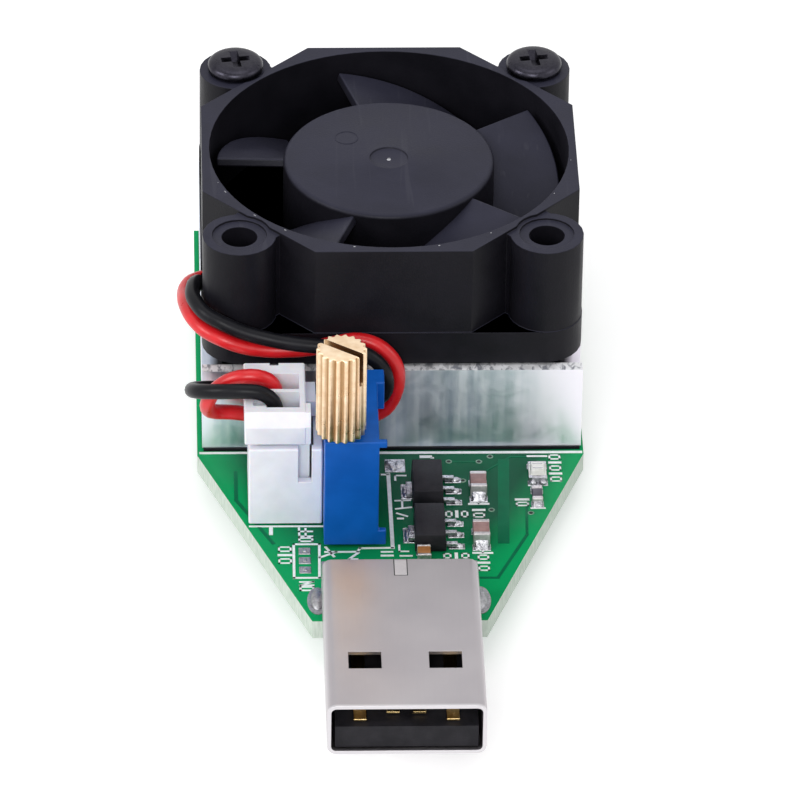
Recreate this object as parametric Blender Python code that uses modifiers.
"""USB load tester: a plug-in constant-current load on a small circuit board.

A tapered board carries a USB-A plug, a finned heat sink with a 30 mm fan on top, a multi-turn
trimmer with a knurled brass knob and a two-way fan connector. Units are metres, +Z is up, and +Y
runs from the plug's tip to the board's rear edge. The origin is under the middle of the whole
length, level with the lowest point of the power transistor under the board.
"""

import math

import bmesh
import bpy
from mathutils import Matrix, Vector

# Clearances
SEAT_GAP = 0.0003
SOLDER_GAP = 0.0001
BORE_GAP = 0.0002

# Circuit board, which is as wide and as long as the fan and its margins ask
BOARD_LEFT_MARGIN = 0.0004
BOARD_RIGHT_MARGIN = 0.0002
BOARD_REAR_MARGIN = 0.0009
BOARD_FRONT_ZONE = 0.0235
BOARD_NOSE_MARGIN = 0.00075
BOARD_THICKNESS = 0.0016
BOARD_TAPER_LENGTH = 0.0222

# USB plug
PLUG_OVERHANG = 0.0170
SHELL_LENGTH = 0.01875
SHELL_WIDTH = 0.0120
SHELL_HEIGHT = 0.0045
SHELL_WALL = 0.0003
SHELL_CORNER = 0.0007
WINDOW_WIDTH = 0.0025
WINDOW_LENGTH = 0.0021
WINDOW_SPACING = 0.0061
WINDOW_FROM_TIP = 0.0058
SHELL_LEG_LENGTH = 0.0019
SHELL_EAR_LENGTH = 0.0036
SHELL_EAR_HEIGHT = 0.0024
TONGUE_HEIGHT = 0.0019
TONGUE_SETBACK = 0.0004
INSULATOR_BLOCK_LENGTH = 0.0068
CONTACT_WIDTH = 0.0010
CONTACT_THICKNESS = 0.0002
CONTACT_OUTER_SETBACK = 0.0009
CONTACT_INNER_SETBACK = 0.0018
CONTACT_OUTER_SPACING = 0.0070
CONTACT_INNER_SPACING = 0.0020
CHANNEL_SINK = 0.00002

# Leads and legs that come out under the board
LEG_REACH = 0.0010

# Heat sink, as wide as the fan
SINK_OVERHANG = 0.0006
SINK_HEIGHT = 0.0073
SINK_BASE = 0.0016
FIN_THICKNESS = 0.0010
FIN_COUNT = 9

# Fan frame
FAN_WIDTH = 0.0300
FAN_HEIGHT = 0.0105
BARREL_INSET = 0.0001
BORE_INSET = 0.0007
FLANGE_THICKNESS = 0.00285
FLANGE_CORNER = 0.0030
HOLE_INSET = 0.00295
FAN_HOLE = 0.0028
BOSS_RADIUS = 0.0029
BOSS_DROP = 0.00025
BOSS_WEB_WIDTH = 0.0046
COUNTERBORE = 0.0043
COUNTERBORE_DEPTH = 0.0002
HUB_PLATE_THICKNESS = 0.0008
STRUT_WIDTH = 0.0018
STRUT_HEIGHT = 0.0011
STRUT_COUNT = 3
LEAD_ANGLE = math.radians(205)
BEARING_TUBE_WALL = 0.0006
BEARING_TUBE_HEIGHT = 0.0066

# Fan rotor and motor
HUB_DIAMETER = 0.0168
HUB_WALL = 0.0007
HUB_TOP_THICKNESS = 0.0011
HUB_EDGE = 0.0004
HUB_DROP = 0.0010
HUB_LIFT = 0.0032
HUB_BOSS_RADIUS = 0.0018
HUB_BOSS_HEIGHT = 0.0008
DIMPLE_RADIUS = 0.0019
DIMPLE_DEPTH = 0.0002
BLADE_COUNT = 5
BLADE_FIRST_ANGLE = math.radians(8)
BLADE_SPAN_ANGLE = math.radians(52)
BLADE_TIP_GAP = 0.0006
BLADE_THICKNESS = 0.0007
BLADE_BOTTOM_LIFT = 0.0034
BLADE_TOP_DROP = 0.0013
BLADE_CAMBER = 0.10
SHAFT_RADIUS = 0.00075
SLEEVE_RADIUS = 0.0016
SLEEVE_GAP = 0.00006
MAGNET_WALL = 0.0010
MAGNET_HEIGHT = 0.0034
STATOR_GAP = 0.0004
STATOR_HEIGHT = 0.0022
STATOR_HUB_WALL = 0.0009
POLE_WIDTH = 0.0012
POLE_SHOE_THICKNESS = 0.0008
POLE_OPENING = 0.0014
COIL_WALL = 0.0009
COIL_LENGTH = 0.0009
MOTOR_BOARD_THICKNESS = 0.0006

# Mounting screws and nuts
SCREW_LENGTH = 0.0220
SCREW_RADIUS = 0.00122
SCREW_HEAD_RADIUS = 0.00225
SCREW_HEAD_HEIGHT = 0.0009
RECESS_WIDTH = 0.0007
RECESS_LENGTH = 0.0028
RECESS_DEPTH = 0.0006
NUT_FLATS = 0.0050
NUT_THICKNESS = 0.0019

# Trimmer and its knob
TRIMMER_WIDTH = 0.00483
TRIMMER_LENGTH = 0.0100
TRIMMER_HEIGHT = 0.00973
TRIMMER_X = -0.00324
TRIMMER_FRONT_FROM_NOSE = 0.0096
TRIMMER_RECESS_DEPTH = 0.0006
TRIMMER_REAR_LIP = 0.0019
TRIMMER_CORNER_LIP = 0.0005
TRIMMER_TOP_LIP = 0.00055
TRIMMER_FOOT_HEIGHT = 0.00135
TRIMMER_SCREW_HOLE = 0.0026
TRIMMER_SCREW_DEPTH = 0.0030
TRIMMER_PITCH = 0.00254
TRIMMER_LEAD_RADIUS = 0.00025
TRIMMER_LEAD_DEPTH = 0.0010
KNOB_X = -0.00440
KNOB_FROM_FRONT = 0.00125
KNOB_RADIUS = 0.00195
KNOB_HEIGHT = 0.0077
KNOB_GAP = 0.0003
KNOB_SPLINES = 18
SPLINE_DEPTH = 0.00022
KNOB_CHAMFER = 0.00022
KNOB_SLOT_WIDTH = 0.0006
KNOB_SLOT_DEPTH = 0.0027
KNOB_SLOT_ANGLE = math.radians(-35)

# Fan connector
HEADER_WIDTH = 0.00575
HEADER_LENGTH = 0.00765
HEADER_HEIGHT = 0.0071
HEADER_WALL = 0.0007
HEADER_FLOOR = 0.0016
HEADER_SLOT_WIDTH = 0.00105
HEADER_SLOT_FLOOR = 0.0041
HEADER_SLOT_OFFSET = 0.0015
CONNECTOR_X = -0.0086
PIN_FRONT_FROM_NOSE = 0.0154
PIN_PITCH = 0.0025
HEADER_FRONT_FROM_PIN = 0.0027
PIN_WIDTH = 0.00064
PIN_HEIGHT = 0.0058
PLUG_TOP_WIDTH = 0.0048
PLUG_TOP_OFFSET = -0.0008
PLUG_TOP_LENGTH = 0.0076
PLUG_TOP_HEIGHT = 0.0026
PLUG_FRONT_SETBACK = 0.0002
PLUG_SLOPE_LENGTH = 0.0008
PLUG_SLOPE_HEIGHT = 0.0010
PLUG_COLLAR_REACH = 0.00035
PLUG_COLLAR_LENGTH = 0.0021
PLUG_RIB_REACH = 0.0008
PLUG_RIB_LENGTH = 0.0027
PLUG_RIB_HEIGHT = 0.0015
PLUG_RIB_FROM_REAR = 0.0011
PLUG_NOTCH_WIDTH = 0.0007
PLUG_NOTCH_DEPTH = 0.0004
WIRE_POCKET_WIDTH = 0.0026
WIRE_POCKET_OFFSET = -0.0002
WIRE_POCKET_LENGTH = 0.0021
WIRE_GROOVE_LENGTH = 0.0010
WIRE_GROOVE_DEPTH = 0.0008
WIRE_GROOVE_SHIFT = 0.0002
CRIMP_WIDTH = 0.0013
CRIMP_HEIGHT = 0.0042

# Fan leads
LEAD_DIAMETER = 0.0012
LEAD_SPACING = 0.0014
LEAD_HEIGHT = 0.00225
LEAD_NOTCH_WIDTH = 0.0042
LEAD_NOTCH_FLOOR = 0.0014
LEAD_NOTCH_HEIGHT = 0.0017
LEAD_POINT_STEP = 0.0012

# Small parts on the top of the board: centre across, centre from the board's nose
REGULATOR_WIDTH = 0.00245
REGULATOR_LENGTH = 0.0045
REGULATOR_HEIGHT = 0.0015
REGULATOR_X = 0.00265
REGULATOR_REAR_FROM_NOSE = 0.0171
REGULATOR_FRONT_FROM_NOSE = 0.0112
REGULATOR_LEAD_PITCH = 0.0015
REGULATOR_LEAD_WIDTH = 0.0004
REGULATOR_TAB_WIDTH = 0.0017
REGULATOR_LEAD_REACH = 0.0009
REGULATOR_TAB_REACH = 0.0005
REGULATOR_LEAD_THICKNESS = 0.0003
CAPACITOR_X = 0.00664
CAPACITOR_REAR_FROM_NOSE = 0.01712
CAPACITOR_FRONT_FROM_NOSE = 0.01062
CAPACITOR_SIZE = (0.00125, 0.0020, 0.00115)
LED_X = 0.0114
LED_FROM_NOSE = 0.0193
LED_SIZE = (0.0014, 0.0022, 0.0008)
RESISTOR_X = 0.01125
RESISTOR_FROM_NOSE = 0.0162
RESISTOR_SIZE = (0.0008, 0.0018, 0.00045)
SMALL_CAPACITOR_X = 0.0021
SMALL_CAPACITOR_FROM_NOSE = 0.0081
SMALL_CAPACITOR_SIZE = (0.0010, 0.0014, 0.0008)

# Parts under the board
TRANSISTOR_WIDTH = 0.0066
TRANSISTOR_LENGTH = 0.0061
TRANSISTOR_HEIGHT = 0.0023
TRANSISTOR_FROM_NOSE = 0.0280
TRANSISTOR_TAB_LENGTH = 0.0024
TRANSISTOR_LEAD_LENGTH = 0.0027
TRANSISTOR_LEAD_WIDTH = 0.0008
TRANSISTOR_LEAD_PITCH = 0.00457
TRANSISTOR_LEAD_THICKNESS = 0.0005
SENSE_SIZE = (0.0063, 0.0032, 0.0006)
SENSE_X = 0.0078
SENSE_FROM_NOSE = 0.0200
AMPLIFIER_WIDTH = 0.0039
AMPLIFIER_LENGTH = 0.0049
AMPLIFIER_HEIGHT = 0.0014
AMPLIFIER_X = 0.0055
AMPLIFIER_FROM_NOSE = 0.0128
AMPLIFIER_LEAD_PITCH = 0.00127
AMPLIFIER_LEAD_WIDTH = 0.0004
AMPLIFIER_LEAD_REACH = 0.0010
AMPLIFIER_LEAD_THICKNESS = 0.0003

# Sizes that follow the fan and the plug
BOARD_LENGTH = BOARD_FRONT_ZONE + FAN_WIDTH + BOARD_REAR_MARGIN
BOARD_NOSE_WIDTH = SHELL_WIDTH + 2 * BOARD_NOSE_MARGIN
SINK_WIDTH = FAN_WIDTH
SINK_LENGTH = FAN_WIDTH + 2 * SINK_OVERHANG
BARREL_WIDTH = FAN_WIDTH - 2 * BARREL_INSET
FAN_BORE = FAN_WIDTH - 2 * BORE_INSET
HOLE_PITCH = FAN_WIDTH - 2 * HOLE_INSET

# Places worked out from the sizes above
OVERALL_LENGTH = BOARD_LENGTH + PLUG_OVERHANG
BOARD_REAR = OVERALL_LENGTH / 2
BOARD_NOSE = BOARD_REAR - BOARD_LENGTH
PLUG_TIP = BOARD_NOSE - PLUG_OVERHANG
BOARD_BOTTOM = TRANSISTOR_HEIGHT + SOLDER_GAP
BOARD_TOP = BOARD_BOTTOM + BOARD_THICKNESS
LEG_END = BOARD_BOTTOM - LEG_REACH
SINK_BOTTOM = BOARD_TOP + SEAT_GAP
SINK_TOP = SINK_BOTTOM + SINK_HEIGHT
FAN_BOTTOM = SINK_TOP + SEAT_GAP
FAN_TOP = FAN_BOTTOM + FAN_HEIGHT
BOSS_TOP = FAN_TOP - BOSS_DROP
FAN_Y = BOARD_REAR - BOARD_REAR_MARGIN - FAN_WIDTH / 2
SHELL_BOTTOM = BOARD_TOP + SOLDER_GAP
SHELL_REAR = PLUG_TIP + SHELL_LENGTH
TRIMMER_BOTTOM = BOARD_TOP + SEAT_GAP
TRIMMER_TOP = TRIMMER_BOTTOM + TRIMMER_HEIGHT
TRIMMER_FRONT = BOARD_NOSE + TRIMMER_FRONT_FROM_NOSE
TRIMMER_Y = TRIMMER_FRONT + TRIMMER_LENGTH / 2
KNOB_Y = TRIMMER_FRONT + KNOB_FROM_FRONT
KNOB_BOTTOM = TRIMMER_TOP + KNOB_GAP
HEADER_BOTTOM = BOARD_TOP + SOLDER_GAP
HEADER_TOP = HEADER_BOTTOM + HEADER_HEIGHT
PIN_FRONT_Y = BOARD_NOSE + PIN_FRONT_FROM_NOSE
HEADER_FRONT = PIN_FRONT_Y - HEADER_FRONT_FROM_PIN
HEADER_Y = HEADER_FRONT + HEADER_LENGTH / 2
PLUG_FRONT = HEADER_FRONT + PLUG_FRONT_SETBACK
PLUG_TOP_BOTTOM = HEADER_TOP + SEAT_GAP
PLUG_TOP = PLUG_TOP_BOTTOM + PLUG_TOP_HEIGHT
HUB_RADIUS = HUB_DIAMETER / 2
HUB_BOTTOM = HUB_LIFT
HUB_TOP = FAN_HEIGHT - HUB_DROP
BEARING_TUBE_BORE = SLEEVE_RADIUS + BORE_GAP
BEARING_TUBE_RADIUS = BEARING_TUBE_BORE + BEARING_TUBE_WALL
MAGNET_RADIUS = HUB_RADIUS - HUB_WALL - SEAT_GAP
STATOR_RADIUS = MAGNET_RADIUS - MAGNET_WALL - STATOR_GAP
STATOR_BORE = BEARING_TUBE_RADIUS + SEAT_GAP
MAGNET_BOTTOM = HUB_BOTTOM + SEAT_GAP
STATOR_BOTTOM = MAGNET_BOTTOM + (MAGNET_HEIGHT - STATOR_HEIGHT) / 2
SCREW_SEAT = BOSS_TOP + SOLDER_GAP

# The fan leads' routes in the open, after they leave the notch in the fan frame's left side
BLACK_ROUTE = [
    (-0.01450, 0.01200, 0.01450),
    (-0.01500, 0.01120, 0.01530),
    (-0.01535, 0.01030, 0.01600),
    (-0.01565, 0.00890, 0.01655),
    (-0.01565, 0.00690, 0.01675),
    (-0.01480, 0.00500, 0.01665),
    (-0.01345, 0.00415, 0.01625),
    (-0.01190, 0.00380, 0.01565),
    (-0.01000, 0.00350, 0.01520),
    (-0.00800, 0.00310, 0.01500),
    (-0.00630, 0.00275, 0.01500),
    (-0.00435, 0.00245, 0.01500),
    (-0.00235, 0.00220, 0.01460),
    (-0.00105, 0.00210, 0.01355),
    (-0.00055, 0.00205, 0.01205),
    (-0.00085, 0.00225, 0.01060),
    (-0.00200, 0.00270, 0.00990),
    (-0.00400, 0.00305, 0.01025),
    (-0.00730, 0.00310, 0.01060),
    (-0.01100, 0.00310, 0.01070),
    (-0.01370, 0.00290, 0.01090),
    (-0.01530, 0.00180, 0.01165),
    (-0.01583, 0.00010, 0.01270),
    (-0.01535, -0.00160, 0.01374),
    (-0.01394, -0.00270, 0.01446),
    (-0.01226, -0.00320, 0.01483),
    (-0.01120, -0.00328, 0.01485),
    (-0.01047, -0.00330, 0.01470),
    (-0.00986, -0.00330, 0.01430),
    (-0.00945, -0.00330, 0.01368),
    (-0.00930, -0.00330, 0.01295),
    (-0.00915, -0.00330, 0.01200),
    (-0.00890, -0.00330, 0.01055),
]
RED_ROUTE = [
    (-0.01550, 0.01325, 0.01420),
    (-0.01615, 0.01210, 0.01435),
    (-0.01635, 0.01060, 0.01460),
    (-0.01625, 0.00850, 0.01510),
    (-0.01575, 0.00650, 0.01520),
    (-0.01480, 0.00495, 0.01505),
    (-0.01340, 0.00405, 0.01475),
    (-0.01180, 0.00385, 0.01420),
    (-0.01000, 0.00388, 0.01385),
    (-0.00830, 0.00392, 0.01380),
    (-0.00667, 0.00395, 0.01390),
    (-0.00471, 0.00395, 0.01437),
    (-0.00289, 0.00390, 0.01475),
    (-0.00135, 0.00365, 0.01445),
    (-0.00022, 0.00340, 0.01350),
    (0.00035, 0.00325, 0.01212),
    (0.00021, 0.00315, 0.01037),
    (-0.00062, 0.00308, 0.00870),
    (-0.00231, 0.00305, 0.00790),
    (-0.00450, 0.00308, 0.00785),
    (-0.00730, 0.00310, 0.00800),
    (-0.01050, 0.00308, 0.00820),
    (-0.01260, 0.00290, 0.00860),
    (-0.01400, 0.00200, 0.00930),
    (-0.01455, 0.00090, 0.01030),
    (-0.01460, 0.00010, 0.01150),
    (-0.01415, -0.00045, 0.01290),
    (-0.01318, -0.00085, 0.01408),
    (-0.01215, -0.00110, 0.01468),
    (-0.01120, -0.00120, 0.01486),
    (-0.01047, -0.00115, 0.01470),
    (-0.00986, -0.00100, 0.01430),
    (-0.00945, -0.00088, 0.01368),
    (-0.00930, -0.00080, 0.01295),
    (-0.00915, -0.00080, 0.01200),
    (-0.00890, -0.00080, 0.01055),
]

ROUND_STEPS = 48
SMALL_ROUND_STEPS = 24
HOLE_STEPS = 16
THIN_LEAD_STEPS = 12
BORE_STEPS = 72
MERGE_DISTANCE = 0.000001


def clear_scene():
    """Remove every object, mesh and material that the file opened with."""
    for item in list(bpy.data.objects):
        bpy.data.objects.remove(item, do_unlink=True)
    for group in list(bpy.data.collections):
        bpy.data.collections.remove(group)


def make_material(name, colour, roughness, metallic=0.0):
    """A Principled surface of one colour."""
    material = bpy.data.materials.new(name)
    material.use_nodes = True
    shader = material.node_tree.nodes["Principled BSDF"]
    shader.inputs["Base Color"].default_value = (*colour, 1.0)
    shader.inputs["Roughness"].default_value = roughness
    shader.inputs["Metallic"].default_value = metallic
    material.diffuse_color = (*colour, 1.0)
    return material


clear_scene()
PARTS = bpy.data.collections.new("usb_load_tester")
CUTTERS = bpy.data.collections.new("cutters")
bpy.context.scene.collection.children.link(PARTS)
bpy.context.scene.collection.children.link(CUTTERS)

GREEN_MASK = make_material("green_solder_mask", (0.01, 0.20, 0.09), 0.35)
ALUMINIUM = make_material("milled_aluminium", (0.72, 0.73, 0.75), 0.35, 1.0)
BLACK_MOULDING = make_material("black_fan_moulding", (0.018, 0.018, 0.022), 0.45)
BLACK_EPOXY = make_material("black_chip_epoxy", (0.02, 0.02, 0.02), 0.6)
BLACK_STEEL = make_material("blackened_steel", (0.03, 0.03, 0.03), 0.35, 0.8)
PLATED_STEEL = make_material("nickel_plated_steel", (0.68, 0.66, 0.62), 0.28, 1.0)
BRASS = make_material("brass", (0.80, 0.58, 0.30), 0.3, 1.0)
BLUE_CASE = make_material("blue_trimmer_case", (0.01, 0.12, 0.50), 0.4)
WHITE_NYLON = make_material("white_nylon", (0.80, 0.81, 0.82), 0.45)
TIN = make_material("tinned_copper", (0.75, 0.75, 0.74), 0.35, 1.0)
GOLD = make_material("gold_flash", (0.90, 0.65, 0.28), 0.25, 1.0)
COPPER = make_material("enamelled_copper", (0.65, 0.28, 0.12), 0.35, 0.9)
FERRITE = make_material("bonded_ferrite", (0.06, 0.05, 0.05), 0.7)
BRONZE = make_material("sintered_bronze", (0.45, 0.30, 0.14), 0.6, 0.9)
CERAMIC = make_material("tan_ceramic", (0.42, 0.27, 0.17), 0.5)
LED_CASE = make_material("white_led_case", (0.85, 0.83, 0.75), 0.4)
RED_PVC = make_material("red_lead_sleeve", (0.70, 0.02, 0.03), 0.35)
BLACK_PVC = make_material("black_lead_sleeve", (0.015, 0.015, 0.018), 0.4)


def place_mesh(name, mesh, material, location):
    """Put a finished mesh in the parts collection as one named piece."""
    piece = bpy.data.objects.new(name, mesh)
    piece.location = location
    piece.data.materials.append(material)
    PARTS.objects.link(piece)
    return piece


def as_cutter(piece):
    """Move a piece to the cutters, where it only shapes other pieces."""
    PARTS.objects.unlink(piece)
    CUTTERS.objects.link(piece)
    piece.hide_render = True
    piece.display_type = "WIRE"
    return piece


def mesh_from(name, work):
    """Write a working bmesh into a new mesh."""
    mesh = bpy.data.meshes.new(name)
    work.to_mesh(mesh)
    work.free()
    return mesh


def smooth(piece, degrees=35):
    """Shade a piece smooth, apart from its real edges."""
    piece.data.shade_smooth()
    piece.data.set_sharp_from_angle(angle=math.radians(degrees))
    return piece


def block(name, size, centre, material, corner=0.0, corner_steps=3, turn=0.0, upright_only=True):
    """A box, with its upright edges or all its edges rounded when a corner radius is given."""
    work = bmesh.new()
    bmesh.ops.create_cube(work, size=1.0)
    bmesh.ops.scale(work, vec=size, verts=work.verts)
    if corner > 0.0:
        edges = [
            edge
            for edge in work.edges
            if not upright_only
            or abs((edge.verts[0].co - edge.verts[1].co).z) > size[2] / 2
        ]
        bmesh.ops.bevel(
            work,
            geom=edges,
            offset=corner,
            offset_type="OFFSET",
            segments=corner_steps,
            profile=0.5,
            affect="EDGES",
            material=-1,
        )
    piece = place_mesh(name, mesh_from(name, work), material, centre)
    piece.rotation_euler.z = turn
    return piece


def span_block(name, low, high, material, **options):
    """A box between two corners."""
    size = [high[axis] - low[axis] for axis in range(3)]
    centre = [(high[axis] + low[axis]) / 2 for axis in range(3)]
    return block(name, size, centre, material, **options)


def rod(name, radius, low, high, place, material, steps=SMALL_ROUND_STEPS, end_radius=None):
    """An upright cylinder or cone between two heights."""
    work = bmesh.new()
    bmesh.ops.create_cone(
        work,
        cap_ends=True,
        segments=steps,
        radius1=radius,
        radius2=radius if end_radius is None else end_radius,
        depth=high - low,
    )
    piece = place_mesh(name, mesh_from(name, work), material, (*place, (low + high) / 2))
    return smooth(piece)


def rod_set(name, radius, low, high, places, steps=SMALL_ROUND_STEPS):
    """Several upright cylinders in one cutter."""
    work = bmesh.new()
    for x, y in places:
        bmesh.ops.create_cone(
            work,
            cap_ends=True,
            segments=steps,
            radius1=radius,
            radius2=radius,
            depth=high - low,
            matrix=Matrix.Translation((x, y, (low + high) / 2)),
        )
    return as_cutter(place_mesh(name, mesh_from(name, work), TIN, (0, 0, 0)))


def block_set(name, size, centres, turns=None):
    """Several boxes of one size in one cutter or filler."""
    work = bmesh.new()
    for index, centre in enumerate(centres):
        turn = Matrix.Rotation(turns[index] if turns else 0.0, 4, "Z")
        scale = Matrix.Diagonal((*size, 1.0))
        bmesh.ops.create_cube(work, size=1.0, matrix=Matrix.Translation(centre) @ turn @ scale)
    return as_cutter(place_mesh(name, mesh_from(name, work), TIN, (0, 0, 0)))


def turned(name, profile, place, material, steps=ROUND_STEPS, closed=True):
    """A turned piece: the profile runs down its outer side and back up the inside."""
    mesh = bpy.data.meshes.new(name)
    count = len(profile)
    edges = [(index, index + 1) for index in range(count - 1)]
    if closed:
        edges.append((count - 1, 0))
    mesh.from_pydata([(radius, 0.0, height) for radius, height in profile], edges, [])
    piece = place_mesh(name, mesh, material, place)
    screw = piece.modifiers.new("turn", "SCREW")
    screw.axis = "Z"
    screw.angle = math.tau
    screw.steps = steps
    screw.render_steps = steps
    screw.use_merge_vertices = True
    screw.merge_threshold = MERGE_DISTANCE
    screw.use_smooth_shade = False
    return piece


def ring(name, outer, inner, low, high, place, material, steps=ROUND_STEPS):
    """A plain tube."""
    profile = [(outer, high), (outer, low), (inner, low), (inner, high)]
    return turned(name, profile, place, material, steps)


def boolean(piece, other, operation):
    """Cut or join with another solid, kept as a live modifier."""
    change = piece.modifiers.new(operation.lower(), "BOOLEAN")
    change.operation = operation
    change.object = other
    change.solver = "EXACT"
    return piece


def cut(piece, *cutters):
    """Take cutters out of a piece."""
    for cutter in cutters:
        boolean(piece, cutter, "DIFFERENCE")
    return piece


def join(piece, *fillers):
    """Fuse solids into one body."""
    for filler in fillers:
        if filler.name in PARTS.objects:
            as_cutter(filler)
        boolean(piece, filler, "UNION")
    return piece


def corner_places():
    """The four fan screw places."""
    half = HOLE_PITCH / 2
    return [(side * half, FAN_Y + end * half) for side in (-1, 1) for end in (-1, 1)]


def rear_places():
    """The two rear places, where the screws are."""
    half = HOLE_PITCH / 2
    return {"left": (-half, FAN_Y + half), "right": (half, FAN_Y + half)}


def trimmer_lead_places():
    """The three trimmer leads, in line along the case."""
    return [(TRIMMER_X, TRIMMER_Y + (index - 1) * TRIMMER_PITCH) for index in range(3)]


def pin_places():
    """The connector's two pins, front first."""
    return [(CONNECTOR_X, PIN_FRONT_Y), (CONNECTOR_X, PIN_FRONT_Y + PIN_PITCH)]


def contact_columns():
    """Where the four USB contacts lie across the plug."""
    return [
        -CONTACT_OUTER_SPACING / 2,
        -CONTACT_INNER_SPACING / 2,
        CONTACT_INNER_SPACING / 2,
        CONTACT_OUTER_SPACING / 2,
    ]


def contact_leg_y():
    """The contacts go down just behind the shell."""
    return SHELL_REAR + SEAT_GAP + CONTACT_THICKNESS / 2


def shell_leg_y():
    """The middle of the shell's solder legs."""
    return SHELL_REAR + SHELL_EAR_LENGTH - SHELL_LEG_LENGTH * 1.5


def build_board():
    """The tapered board with every hole that a part goes through."""
    outline = bpy.data.curves.new("board_outline", "CURVE")
    outline.dimensions = "2D"
    outline.fill_mode = "BOTH"
    outline.extrude = BOARD_THICKNESS / 2
    left = -FAN_WIDTH / 2 - BOARD_LEFT_MARGIN
    right = FAN_WIDTH / 2 + BOARD_RIGHT_MARGIN
    nose = BOARD_NOSE_WIDTH / 2
    kink = BOARD_NOSE + BOARD_TAPER_LENGTH
    corners = [
        (-nose, BOARD_NOSE),
        (nose, BOARD_NOSE),
        (right, kink),
        (right, BOARD_REAR),
        (left, BOARD_REAR),
        (left, kink),
    ]
    spline = outline.splines.new("POLY")
    spline.points.add(len(corners) - len(spline.points))
    for point, (x, y) in zip(spline.points, corners):
        point.co = (x, y, 0.0, 1.0)
    spline.use_cyclic_u = True
    centre = (0, 0, (BOARD_TOP + BOARD_BOTTOM) / 2)
    piece = mesh_of_curve("circuit_board", outline, GREEN_MASK, centre)
    low = BOARD_BOTTOM - SEAT_GAP
    high = BOARD_TOP + SEAT_GAP
    middle = (low + high) / 2
    screws = rod_set("board_screw_holes", FAN_HOLE / 2, low, high, corner_places())
    lead_hole = TRIMMER_LEAD_RADIUS + BORE_GAP
    lead_places = trimmer_lead_places()
    trimmer = rod_set("board_trimmer_holes", lead_hole, low, high, lead_places, THIN_LEAD_STEPS)
    pin_hole = PIN_WIDTH / math.sqrt(2) + BORE_GAP
    pins = rod_set("board_pin_holes", pin_hole, low, high, pin_places(), HOLE_STEPS)
    contact_hole = math.hypot(CONTACT_WIDTH, CONTACT_THICKNESS) / 2 + SOLDER_GAP
    contact_places = [(x, contact_leg_y()) for x in contact_columns()]
    contacts = rod_set("board_contact_holes", contact_hole, low, high, contact_places, HOLE_STEPS)
    leg_x = (SHELL_WIDTH - SHELL_WALL) / 2
    slot_size = (SHELL_WALL + 2 * BORE_GAP, SHELL_LEG_LENGTH + 2 * BORE_GAP, high - low)
    slot_places = [(side * leg_x, shell_leg_y(), middle) for side in (-1, 1)]
    slots = block_set("board_leg_slots", slot_size, slot_places)
    return cut(piece, screws, trimmer, pins, contacts, slots)


def mesh_of_curve(name, curve, material, location):
    """Turn a curve into a welded mesh piece and remove the curve."""
    guide = bpy.data.objects.new(name + "_curve", curve)
    guide.location = location
    PARTS.objects.link(guide)
    bpy.context.view_layer.update()
    graph = bpy.context.evaluated_depsgraph_get()
    mesh = bpy.data.meshes.new_from_object(guide.evaluated_get(graph))
    work = bmesh.new()
    work.from_mesh(mesh)
    bmesh.ops.remove_doubles(work, verts=work.verts, dist=MERGE_DISTANCE)
    work.to_mesh(mesh)
    work.free()
    mesh.name = name
    mesh.materials.clear()
    piece = place_mesh(name, mesh, material, (0, 0, 0))
    piece.matrix_world = guide.matrix_world.copy()
    bpy.data.objects.remove(guide, do_unlink=True)
    return piece


def build_heat_sink():
    """A base plate with plain fins across the board, drilled for the fan screws."""
    sink_low = FAN_Y - SINK_LENGTH / 2
    piece = span_block(
        "heat_sink",
        (-SINK_WIDTH / 2, sink_low, SINK_BOTTOM),
        (SINK_WIDTH / 2, sink_low + SINK_LENGTH, SINK_TOP),
        ALUMINIUM,
    )
    pitch = (SINK_LENGTH - FIN_THICKNESS) / (FIN_COUNT - 1)
    gap = pitch - FIN_THICKNESS
    floor = SINK_BOTTOM + SINK_BASE
    height = SINK_TOP - floor + SEAT_GAP
    centres = [
        (0.0, sink_low + FIN_THICKNESS + gap / 2 + index * pitch, floor + height / 2)
        for index in range(FIN_COUNT - 1)
    ]
    channels = block_set("sink_channels", (SINK_WIDTH + 2 * SEAT_GAP, gap, height), centres)
    low = SINK_BOTTOM - SEAT_GAP
    holes = rod_set("sink_screw_holes", FAN_HOLE / 2, low, SINK_TOP + SEAT_GAP, corner_places())
    return cut(piece, channels, holes)


def octagon(name, width, low, high, material):
    """A regular eight-sided prism with flats along the fan's sides."""
    work = bmesh.new()
    radius = width / 2 / math.cos(math.pi / 8)
    bmesh.ops.create_cone(
        work,
        cap_ends=True,
        segments=8,
        radius1=radius,
        radius2=radius,
        depth=high - low,
        matrix=Matrix.Rotation(math.pi / 8, 4, "Z"),
    )
    return place_mesh(name, mesh_from(name, work), material, (0, FAN_Y, (low + high) / 2))


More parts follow.
